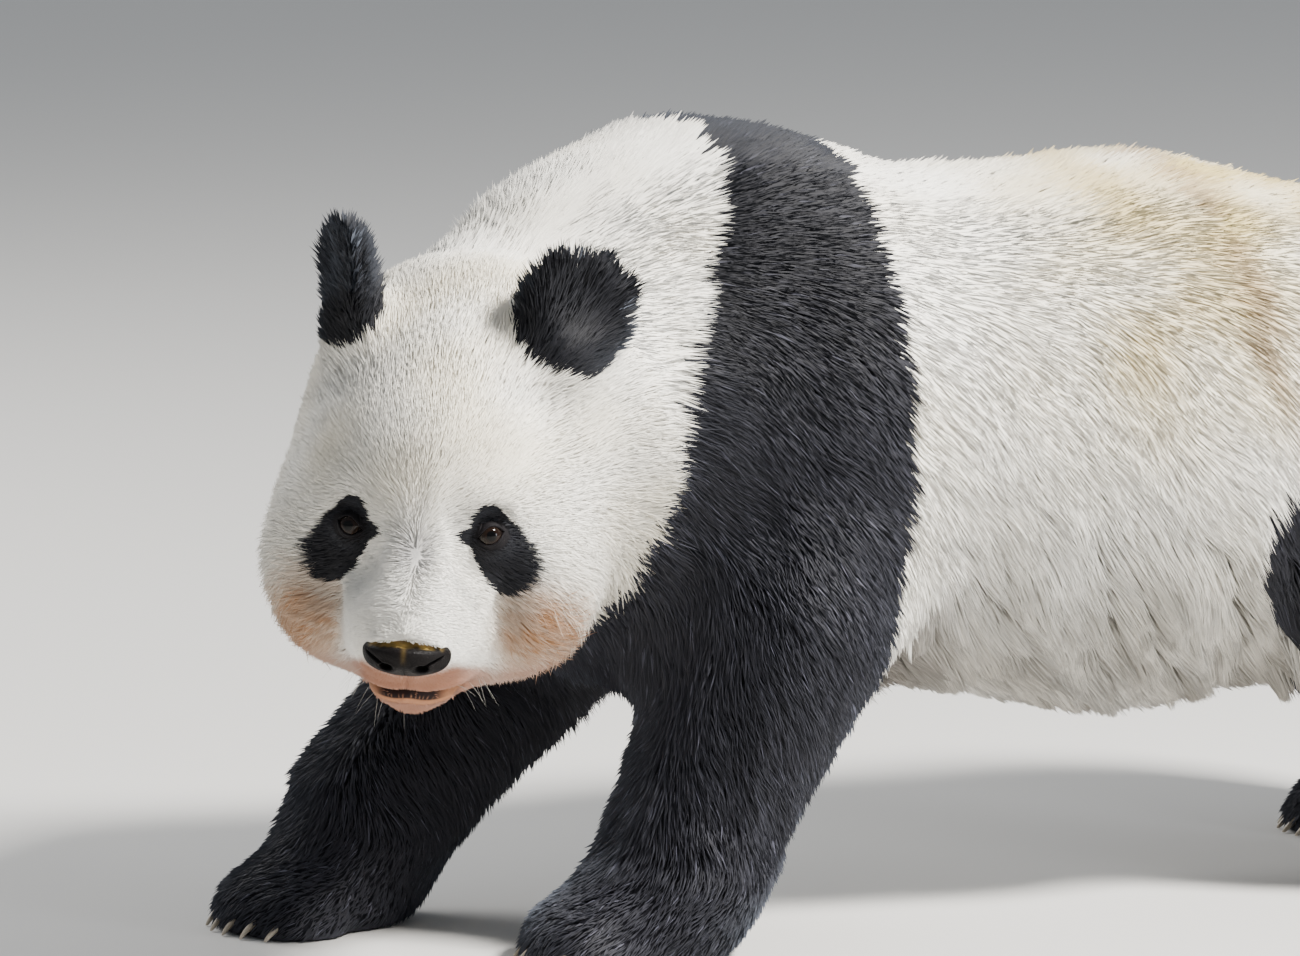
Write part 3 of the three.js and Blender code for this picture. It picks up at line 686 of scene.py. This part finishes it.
def drawIntoLocks(p, bend, tip, pull, each, loose=0.30):  # about `each` tufts lean to one of them
    count = len(p)
    heads = rng.choice(count, count // each, replace=False)
    tree = kdtree.KDTree(len(heads))
    for i, k in enumerate(heads):
        tree.insert(p[k], i)
    tree.balance()
    lead = heads[[tree.find(q)[1] for q in p]]
    aim = tip[lead] + (p - p[lead]) * loose
    near = np.linalg.norm(p - p[lead], axis=1) < 0.05
    share = (np.minimum(pull * rng.uniform(0.4, 1.3, count), 0.92) * near)[:, None]
    return bend + (aim - tip) * share * 0.38, tip + (aim - tip) * share, lead


# how a tuft stands: sunk into the skin, bent at a share of its length and of its height, at most so steep
tuftSpec = {"sunk": 0.0015, "bendAt": 0.44, "bendHeight": 0.58, "steep": 0.72, "loose": 0.04,
            "perLock": 12, "perShaggyLock": 75}


def layTufts(r):
    p, n, kind = r["at"], r["normal"], r["kind"]
    count = len(p)
    wide, long, stray, pull, lift = r["spec"][:, 1:].T
    flow = unit(r["flow"] - n * (r["flow"] * n).sum(1, keepdims=True))
    side = np.cross(n, flow)
    swing = np.radians(stray * rng.normal(size=count) + 9 * ripple(p, 0.09, 11) + 5 * ripple(p, 0.030, 12))
    flow = flow * np.cos(swing)[:, None] + side * np.sin(swing)[:, None]
    vary = 0.22 + 0.025 * np.maximum(stray - 10, 0)
    long = long * (1 + vary * rng.uniform(-1, 1, count)) * (1 + 0.12 * ripple(p, 0.06, 13))
    loose = rng.uniform(0, 1, count) < tuftSpec["loose"]
    smooth = np.where(np.isin(kind, ("trunk", "neck")), 0.72, 0.56)
    high = np.maximum(r["room"], 0.0015) * (smooth + (1.01 - smooth) * rng.uniform(0, 1, count))
    high = np.minimum(high, lift * rng.uniform(0.7, 1.0, count)) * np.where(loose, 1.2, 1)
    high = np.minimum(high, tuftSpec["steep"] * long)

    def reach(up, share):
        run = np.sqrt(np.maximum((long * share) ** 2 - up ** 2, 0))
        return flow * run[:, None] + n * up[:, None]

    bendAt, bendHeight = tuftSpec["bendAt"], tuftSpec["bendHeight"]
    bend = p + reach(np.minimum(high * bendHeight, 0.40 * long), bendAt)
    tip = bend + reach(high * (1 - bendHeight), 1 - bendAt)
    # on the ears each tuft stands away from the ear's root
    ear = kind == "ear"
    out = unit(r["flow"] + n * 0.35 + 0.16 * rng.normal(size=(count, 3)))
    bend[ear] = (p + unit(out + n * 0.25) * (long * 0.45)[:, None])[ear]
    tip[ear] = (bend + unit(out + r["flow"] * 0.4) * (long * 0.55)[:, None])[ear]
    bend, tip, lead = drawIntoLocks(p, bend, tip, pull, tuftSpec["perLock"])
    rough = shaggy(p, kind)
    bend, tip, lock = drawIntoLocks(p, bend, tip, 0.85 * rough, tuftSpec["perShaggyLock"], 0.10)
    tip[:, 2] = np.maximum(tip[:, 2], 0.0015)  # above the floor
    bend[:, 2] = np.maximum(bend[:, 2], 0.0020)
    # a tuft is black or white by the place that it covers, not by that of its root
    onSkin = 0.35 * bend + 0.65 * tip - p
    onSkin = onSkin - n * (onSkin * n).sum(1, keepdims=True)
    ofHead = np.isin(kind, ("ear", "head"))
    black = blackOf(np.where(ofHead[:, None], p + (~ear * 0.5)[:, None] * onSkin, p + 0.95 * onSkin), kind)
    black = black > rng.uniform(0.3, 0.7, count)
    tint = coatColor(p, kind, black.astype(float))
    silver = (rng.uniform(0, 1, count) < 0.03) * ~ofHead * 2.5
    light = np.where(black, rng.uniform(0.7, 1.4, count) + silver, rng.uniform(0.96, 1.03, count))
    # painted shade: the locks under the belly a little darker at random, and darker towards their edges
    parting = np.clip(np.linalg.norm(p - p[lock], axis=1) / 0.013, 0, 1.2) ** 2  # dark between the locks
    light = light * (1 - rough * (0.14 * rng.uniform(0, 1, count)[lock] + 0.26 * parting))
    light = light * rng.uniform(0.97, 1.03, count)[lead]
    # the black coat darker on the head and ears; on the body lighter below the top of the shoulders, a
    # painted sheen
    blackToneAndSheen = np.where(ofHead, 0.60, 0.70 + 0.90 * (1 - rise(p[:, 2], 0.42, 0.62)))
    light = np.where(black, light * blackToneAndSheen, light)  # the black coat lighter on the flank and legs: a painted sheen
    wide = wide * rng.uniform(0.65, 1.25, count) * np.where(loose, 0.6, 1)
    return {"root": p - n * tuftSpec["sunk"], "bend": bend, "tip": tip, "normal": n, "wide": wide,
            "kind": kind, "uv": r["uv"], "tint": tint * light[:, None], "black": black, "rough": rough}


# each tuft is a slim four-sided splinter: root, two corners at its bend, tip
tuftFaces = np.array([(0, 2, 1), (1, 2, 3), (0, 1, 3), (0, 3, 2)])
tuftPatch = np.array([(0, -0.5), (-0.5, 0), (0.5, 0), (0, 0.5)]) * patchSize
tuftShade = np.array([0.92, 0.99, 0.99, 1.01])  # darker at the root: painted shade
shaggyShade = np.array([0.45, 0.08, 0.08, 0])  # and darker by this in the long locks: painted shade between them
# soft light: a tuft's normals are the skin's with a little of its own, and turn a little to its edges
softLight = {"skin": 0.95, "own": 0.25, "lean": 0.08, "edge": 0.18}


def tuftMesh(name, t):
    count = len(t["root"])
    along = t["tip"] - t["root"]
    across = unit(np.cross(along, t["normal"]))
    up = unit(np.cross(across, along))
    half = across * t["wide"][:, None] * 0.5
    hollow = ((t["bend"] - t["root"]) * up).sum(1) < 0  # it bends the other way, so its sides change over
    half = np.where(hollow[:, None], -half, half)
    points = np.stack([t["root"], t["bend"] - half, t["bend"] + half, t["tip"]], 1)
    corner = (tuftFaces[None] + 4 * np.arange(count)[:, None, None]).reshape(-1)
    mesh = bpy.data.meshes.new(name)
    mesh.vertices.add(count * 4)
    mesh.vertices.foreach_set("co", points.ravel())
    mesh.loops.add(len(corner))
    mesh.loops.foreach_set("vertex_index", corner)
    mesh.polygons.add(len(corner) // 3)
    mesh.polygons.foreach_set("loop_start", np.arange(0, len(corner), 3))
    mesh.polygons.foreach_set("use_smooth", np.ones(len(corner) // 3, dtype=bool))
    mesh.update(calc_edges=True)
    uv = (t["uv"][:, None] + tuftPatch[None]).reshape(-1, 2)[corner]
    layer = mesh.uv_layers.new(name="OFBake")
    layer.uv.foreach_set("vector", uv.ravel())
    tint = t["tint"][:, None] * (tuftShade - t["rough"][:, None] * shaggyShade)[:, :, None]
    paint(mesh, tint.reshape(-1, 3))
    strand = np.zeros((count, 4, 3))
    strand[:, :, 0] = rng.uniform(0, 1, (count, 1)) + t["wide"][:, None] * (0, -0.5, 0.5, 0)
    strand[:, :, 1] = np.linalg.norm(along, axis=1)[:, None] * (0, 0.45, 0.45, 1)
    layer = mesh.attributes.new("strand", "FLOAT_VECTOR", "POINT")
    layer.data.foreach_set("vector", strand.ravel())
    lean = rng.normal(0, softLight["lean"], (count, 1)) * across
    soft = unit(t["normal"] * softLight["skin"] + up * softLight["own"] + lean)
    edge = unit(half) * softLight["edge"]
    normals = np.stack([soft, unit(soft - edge), unit(soft + edge), soft], 1)
    mesh.normals_split_custom_set_from_vertices(normals.reshape(-1, 3))
    return pieceFrom(name, mesh)


coat = []
tufts = layTufts(sampleRoots())
coatGroups = {"head": ("head",), "ear": ("ear",), "body": ("neck", "trunk", "tail"),
              "leg": ("foreLeg", "hindLeg"), "paw": ("forePaw", "hindPaw")}
for group, members in coatGroups.items():
    for dark in (False, True):
        chosen = np.flatnonzero(np.isin(tufts["kind"], members) & (tufts["black"] == dark))
        if not len(chosen):
            continue
        parts = -(-len(chosen) // mostTufts)
        chosen = chosen[np.argsort(tufts["root"][chosen, 0])]
        for i, share in enumerate(np.array_split(chosen, parts)):
            name = f"{group}Coat{'Black' if dark else 'White'}{i + 1 if parts > 1 else ''}"
            piece = tuftMesh(name, {key: values[share] for key, values in tufts.items()})
            coat.append((piece, dark))
            print("coat:", name, len(share), "tufts")

# whiskers: on the chin and jaw, and beside the mouth
whiskerSpec = {"count": 24, "length": (0.014, 0.034), "width": 0.00028, "sag": 0.30, "shade": 0.6}


def makeWhiskers():  # each one a slim tube of three sides, bent down by its weight
    h, head = toHead(surface.co), surface.kind == "head"
    side = np.abs(h[:, 1])
    chin = (h[:, 2] < -0.092) & (h[:, 0] > 0.03) & (side < 0.075)
    lip = (h[:, 0] > 0.135) & (side > 0.030) & (h[:, 2] < -0.045) & (h[:, 2] > -0.078)
    pick = rng.choice(np.flatnonzero(head & (chin | lip)), whiskerSpec["count"], replace=False)
    sag = np.array((0, 0, whiskerSpec["sag"]))
    sides = ((0, 1), (1, 2), (2, 0))
    points, faces, alongs = [], [], []
    for n, p, flow in zip(surface.normal[pick], surface.co[pick], surface.flow[pick]):
        long = rng.uniform(*whiskerSpec["length"])
        way = unit(flow + n * 0.7 + 0.25 * rng.normal(size=3))
        across = unit(np.cross(way, n))
        over = np.cross(across, way)
        first = len(points)
        for share in (0, 0.3, 0.6, 0.85):
            middle = p + long * (share * way - sag * share ** 2)
            for angle in (0, 2 * math.pi / 3, 4 * math.pi / 3):
                off = across * math.cos(angle) + over * math.sin(angle)
                points.append(middle + off * whiskerSpec["width"] * 0.5 * (1 - 0.7 * share))
                alongs.append(long * share)
        points.append(p + long * (way - sag))
        alongs.append(long)
        faces.append([first, first + 2, first + 1])
        for ring in range(first, first + 9, 3):
            faces += [[ring + a, ring + b, ring + 3 + b, ring + 3 + a] for a, b in sides]
        faces += [[first + 9 + a, first + 9 + b, first + 12] for a, b in sides]
    mesh = bpy.data.meshes.new("whiskers")
    mesh.from_pydata([tuple(q) for q in points], [], faces)
    mesh.polygons.foreach_set("use_smooth", np.ones(len(faces), dtype=bool))
    each = len(points) // len(pick)
    corner = np.empty(len(mesh.loops), dtype=np.int64)
    mesh.loops.foreach_get("vertex_index", corner)
    place = np.zeros((len(surface.co), 2))
    place[surface.tris.ravel()] = surface.uv[surface.corners.ravel()]
    spread = np.stack([np.tile(np.linspace(-0.4, 0.4, each), len(pick)), np.array(alongs) / 0.05], 1)
    uv = np.repeat(place[pick], each, axis=0) + spread * patchSize * 0.5
    mesh.uv_layers.new(name="OFBake").uv.foreach_set("vector", uv[corner].ravel())
    paint(mesh, np.tile(np.array(markings["white"]) * whiskerSpec["shade"], (len(points), 1)))
    strand = np.zeros((len(points), 3))
    strand[:, 1] = alongs
    mesh.attributes.new("strand", "FLOAT_VECTOR", "POINT").data.foreach_set("vector", strand.ravel())
    return pieceFrom("whiskers", mesh)


coat.append((makeWhiskers(), False))


# eyes, lid rims, nose pad and claws
def makeEye(side):
    bm = bmesh.new()
    bmesh.ops.create_uvsphere(bm, u_segments=48, v_segments=40, radius=eyes["ball"])
    q = places(bm)
    front = q[:, 2] / eyes["ball"]
    q[:, 2] += eyes["cornea"] * rise(front, 0.72, 0.95)
    at, gaze, outward, up = eyeAxes(side)
    setPlaces(bm, fromHead(at + q[:, :1] * outward + q[:, 1:2] * up + q[:, 2:] * gaze))
    eye = finished("eyeball" + ("Left" if side > 0 else "Right"), bm)
    offAxis = np.hypot(q[:, 0], q[:, 1]) / eyes["ball"] + 2 * (front < 0)
    layer = eye.data.attributes.new("offAxis", "FLOAT", "POINT")
    layer.data.foreach_set("value", offAxis)
    return eye


def makeRims():  # two plain rings, each laid along the edge of its lids
    bm = bmesh.new()
    upright = Matrix.Translation((1, 0, 0)) @ Matrix.Rotation(math.pi / 2, 4, "X")
    for _ in (1, -1):
        ring = bmesh.ops.create_circle(bm, segments=10, radius=eyes["rim"], matrix=upright)["verts"]
        edges = list({e for v in ring for e in v.link_edges})
        bmesh.ops.spin(bm, geom=ring + edges, cent=(0, 0, 0), axis=(0, 0, 1), angle=2 * math.pi,
                       steps=72, use_merge=True, use_duplicate=False)
    q = places(bm)
    made = []
    for side, part in zip((1, -1), np.split(q, 2)):
        at, gaze, outward, up = eyeAxes(side)
        around = np.arctan2(part[:, 1], part[:, 0])
        off = np.hypot(part[:, 0], part[:, 1]) - 1
        x = eyes["halfWidth"] * np.cos(around)
        y = eyes["halfHeight"] * np.sin(around) * np.abs(np.sin(around)) + eyes["slant"] * x
        out = unit(np.stack([x, y], 1))
        z = np.sqrt(np.maximum((eyes["ball"] + 0.0006) ** 2 - x ** 2 - y ** 2, 0)) + part[:, 2]
        x, y = x + out[:, 0] * off, y + out[:, 1] * off
        made.append(fromHead(at + x[:, None] * outward + y[:, None] * up + z[:, None] * gaze))
    setPlaces(bm, np.concatenate(made))
    rims = finished("eyelidRims", bm)
    paint(rims.data, np.tile(markings["lid"], (len(q), 1)))
    return rims


def makeNose():  # a ball drawn out to the pad's half moon, then its nostrils and groove
    s = noseSpec
    (holeY, holeZ), (holeWide, holeHigh) = s["nostril"], s["nostrilSize"]
    (slitY, slitZ), (slitWide, slitHigh) = s["slit"], s["slitSize"]
    bm = bmesh.new()
    bmesh.ops.create_icosphere(bm, subdivisions=6, radius=1.0)
    u, v, w = places(bm).T
    y = s["halfWidth"] * v
    z = np.where(w > 0, s["above"] * (1 - (1 - np.maximum(w, 0)) ** 3), s["below"] * w)
    x = s["depth"] * u * (1 - 0.25 * w ** 2) - s["wrap"] * v ** 2 - 0.004 * rise(-w, 0.3, 1.0)
    z = z - s["droop"] * v ** 2
    front = rise(u, 0.05, 0.35)
    side = np.abs(y)
    hole = np.hypot((side - holeY) / holeWide, (z - holeZ) / holeHigh)
    slit = np.hypot((side - slitY) / slitWide, (z - slitZ - 0.35 * (side - slitY)) / slitHigh)
    pit = np.maximum(1 - rise(hole, 0.45, 1.10), 0.7 * (1 - rise(slit, 0.40, 1.10)))
    brim = np.exp(-((hole - 1.35) / 0.25) ** 2) * s["brim"]
    groove = np.exp(-(y / 0.0013) ** 2) * rise(-z, -0.002, 0.006) * s["groove"]
    x = x + front * (brim - s["pit"] * pit - groove)
    setPlaces(bm, fromHead(np.stack([x, y, z], 1) + np.array(s["at"])))
    nose = finished("nosePad", bm)
    # yellow dust along the top edge, and a little down the middle
    q = np.stack([y, z, x], 1)
    edge = faceUp[2] * (z + s["droop"] * v ** 2) + faceUp[0] * (x + s["wrap"] * v ** 2)
    dusty = rise(edge + 0.0008 * ripple(q, 0.009, 32), 0.0012, 0.0040) * (1 - rise(np.abs(v), 0.65, 0.90))
    dusty = dusty * (0.60 + 0.35 * ripple(q, 0.014, 31))
    dusty = dusty + 0.12 * np.exp(-(y / 0.002) ** 2) * rise(z, -0.010, 0.002)
    tint = dyed(np.tile(markings["leather"], (len(q), 1)), ("dust", 0.70 * np.clip(dusty, 0, 1)))
    # the nostrils and slits darker still: painted shade in the pits
    paint(nose.data, tint * (1 - 0.9 * pit * front)[:, None])
    return nose


def makeClaws(paw):
    names = [f"{paw}_claw_{i}" for i in range(1, 6)]
    bm, owners = mergedCopy(names)
    claws = finished(paw.title().replace("_", "") + "Claws", bm)
    place = Surface(claws.data).co
    groups = [owners.index(name) for name in names] + [len(owners)]
    tint = np.tile(markings["clawRoot"], (len(place), 1))
    for first, last in zip(groups, groups[1:]):
        own = sorted({v for f in claws.data.polygons[first:last] for v in f.vertices})
        x = place[own, 0]
        tint[own] = dyed(tint[own], ("clawTip", (x.max() - x) / (x.max() - x.min())))
    paint(claws.data, tint)
    step = claws.modifiers.new("rounded", "SUBSURF")
    step.levels = step.render_levels = 2
    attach(claws, "root")
    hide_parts(*names)
    return claws


eyeballs = [makeEye(1), makeEye(-1)]
rims = makeRims()
nose = makeNose()
claws = [makeClaws(f"{end}_{hand}") for end in ("front", "hind") for hand in ("left", "right")]
print("face and claws made")


# materials: how rough and glossy, and the fine pattern's scale, shades, and bump (strength and height)
looks = {
    "whiteFur": {"rough": 0.65, "gloss": 0.15, "sheen": 0.12, "sheenTint": (1.0, 1.0, 1.0),
                 "scale": (3600, 45, 1), "shades": (0.93, 1.08), "bump": (0.20, 0.0002)},
    "blackFur": {"rough": 0.62, "gloss": 0.24, "sheen": 0.10, "sheenTint": (0.70, 0.80, 1.0),
                 "scale": (3600, 45, 1), "shades": (0.70, 1.35), "bump": (0.25, 0.0002)},
    "skinCover": {"rough": 0.60, "gloss": 0.08,
                  "scale": (420, 420, 420), "shades": (0.84, 1.12), "bump": (0.35, 0.0008)},
    "noseLeather": {"rough": 0.45, "gloss": 0.06,
                    "scale": (620, 620, 620), "shades": (1.10, 0.80), "bump": (0.5, 0.0006)},
    "clawHorn": {"rough": 0.30, "gloss": 0.5,
                 "scale": (60, 500, 500), "shades": (0.80, 1.15), "bump": (0.2, 0.0003)},
}
# rings of the eye, from its axis outward: pupil, iris, its dark edge, and the pinkish white
eyeLook = {
    "rings": ((0.0, (0.001, 0.001, 0.001)), (0.30, (0.001, 0.001, 0.001)), (0.38, (0.009, 0.0045, 0.003)),
              (0.62, (0.010, 0.006, 0.004)), (0.74, (0.003, 0.002, 0.002)), (0.90, (0.006, 0.004, 0.004)),
              (1.0, (0.12, 0.060, 0.055))),
    "wet": 0.35, "wetRough": 0.02,
}


def blankMaterial(name):
    material = bpy.data.materials.new(name)
    material.use_nodes = True
    nodes = material.node_tree.nodes
    return material, nodes, material.node_tree.links, nodes["Principled BSDF"]


def tintedMaterial(name, onStrand=False, cells=False):
    # the painted colour, made uneven by a fine pattern that also gives the bump
    look = looks[name]
    material, nodes, links, shader = blankMaterial(name)
    own = nodes.new("ShaderNodeAttribute")
    own.attribute_name = "coatColor"
    if onStrand:
        where = nodes.new("ShaderNodeAttribute")
        where.attribute_name = "strand"
        place = where.outputs["Vector"]
    else:
        where = nodes.new("ShaderNodeTexCoord")
        place = where.outputs["Object"]
    sizes = nodes.new("ShaderNodeMapping")
    sizes.inputs["Scale"].default_value = look["scale"]
    links.new(place, sizes.inputs["Vector"])
    grain = nodes.new("ShaderNodeTexVoronoi" if cells else "ShaderNodeTexNoise")
    grain.inputs["Scale"].default_value = 1.0
    if not cells:
        grain.inputs["Detail"].default_value = 3
    links.new(sizes.outputs["Vector"], grain.inputs["Vector"])
    amount = grain.outputs["Distance" if cells else "Fac"]
    level = nodes.new("ShaderNodeMapRange")
    level.inputs["To Min"].default_value = look["shades"][0]
    level.inputs["To Max"].default_value = look["shades"][1]
    links.new(amount, level.inputs["Value"])
    mix = nodes.new("ShaderNodeMix")
    mix.data_type = "RGBA"
    mix.blend_type = "MULTIPLY"
    mix.inputs["Factor"].default_value = 1.0
    links.new(own.outputs["Color"], mix.inputs["A"])
    links.new(level.outputs["Result"], mix.inputs["B"])
    links.new(mix.outputs["Result"], shader.inputs["Base Color"])
    relief = nodes.new("ShaderNodeBump")
    relief.inputs["Strength"].default_value = look["bump"][0]
    relief.inputs["Distance"].default_value = look["bump"][1]
    links.new(amount, relief.inputs["Height"])
    links.new(relief.outputs["Normal"], shader.inputs["Normal"])
    shader.inputs["Roughness"].default_value = look["rough"]
    shader.inputs["Specular IOR Level"].default_value = look["gloss"]
    if "sheen" in look:
        shader.inputs["Sheen Weight"].default_value = look["sheen"]
        shader.inputs["Sheen Tint"].default_value = (*look["sheenTint"], 1)
    return material


def eyeMaterial():
    material, nodes, links, shader = blankMaterial("wetEye")
    own = nodes.new("ShaderNodeAttribute")
    own.attribute_name = "offAxis"
    ramp = nodes.new("ShaderNodeValToRGB")
    for _ in range(len(eyeLook["rings"]) - 2):
        ramp.color_ramp.elements.new(0.5)
    for element, (at, color) in zip(ramp.color_ramp.elements, eyeLook["rings"]):
        element.position = at
        element.color = (*color, 1)
    links.new(own.outputs["Fac"], ramp.inputs["Fac"])
    links.new(ramp.outputs["Color"], shader.inputs["Base Color"])
    shader.inputs["Roughness"].default_value = 0.5
    shader.inputs["Specular IOR Level"].default_value = 0.0
    shader.inputs["Coat Weight"].default_value = eyeLook["wet"]
    shader.inputs["Coat Roughness"].default_value = eyeLook["wetRough"]
    return material


whiteFur = tintedMaterial("whiteFur", onStrand=True)
blackFur = tintedMaterial("blackFur", onStrand=True)
skinCover = tintedMaterial("skinCover")
wetLeather = tintedMaterial("noseLeather", cells=True)
horn = tintedMaterial("clawHorn")
wetEye = eyeMaterial()

for piece, dark in coat:
    piece.data.materials.append(blackFur if dark else whiteFur)
    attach(piece, "root")
skin.data.materials.append(skinCover)
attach(skin, "root")
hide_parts(*flesh)
for piece, node in zip(eyeballs, ("eye_left", "eye_right")):
    piece.data.materials.append(wetEye)
    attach(piece, "root")
    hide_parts(node)
rims.data.materials.append(wetLeather)
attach(rims, "root")
nose.data.materials.append(wetLeather)
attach(nose, "root")
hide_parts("nose")
for piece in claws:
    piece.data.materials.append(horn)
print("materials made")

# floor, light and camera; each lamp has its place, aim, size, power and colour
studio = {"floorSize": 80, "floor": (0.62, 0.61, 0.59), "sky": (0.82, 0.88, 0.96), "skyPower": 0.45}
lamps = {
    "keyLight": ((1.4, -2.6, 3.8), (-0.3, 0, 0.4), 0.9, 840, (1.0, 0.97, 0.92)),
    "fillLight": ((2.8, -4.8, 1.0), (-0.2, 0, 0.4), 1.4, 130, (0.90, 0.94, 1.0)),
    "backLight": ((-1.5, 3.5, 3.5), (0, 0, 0.5), 2.5, 170, (1.0, 0.98, 0.95)),
}
bm = bmesh.new()
bmesh.ops.create_grid(bm, x_segments=1, y_segments=1, size=studio["floorSize"])
floor = finished("floor", bm, smooth=False)
material, nodes, links, shader = blankMaterial("paleFloor")
shader.inputs["Base Color"].default_value = (*studio["floor"], 1)
shader.inputs["Roughness"].default_value = 0.8
floor.data.materials.append(material)


def areaLight(name, at, aim, size, power, color):
    data = bpy.data.lights.new(name, "AREA")
    data.size = size
    data.energy = power
    data.color = color
    lamp = bpy.data.objects.new(name, data)
    lamp.location = at
    lamp.rotation_euler = (Vector(aim) - Vector(at)).to_track_quat("-Z", "Y").to_euler()
    bpy.context.scene.collection.objects.link(lamp)


for name, values in lamps.items():
    areaLight(name, *values)
world = bpy.data.worlds.new("studio")
world.use_nodes = True
background = world.node_tree.nodes["Background"]
background.inputs["Color"].default_value = (*studio["sky"], 1)
background.inputs["Strength"].default_value = studio["skyPower"]
bpy.context.scene.world = world

cameraSpec = {"at": (-3.6132, -7.1177, 1.5095), "azimuth": -25.0, "elevation": 8.0, "lens": 250.0}
cameraData = bpy.data.cameras.new("camera")
cameraData.lens = cameraSpec["lens"]
cameraData.sensor_width = 36.0
cameraData.clip_end = 400
camera = bpy.data.objects.new("camera", cameraData)
camera.location = cameraSpec["at"]
camera.rotation_euler = (math.radians(90 - cameraSpec["elevation"]), 0, math.radians(cameraSpec["azimuth"]))
bpy.context.scene.collection.objects.link(camera)
bpy.context.scene.camera = camera
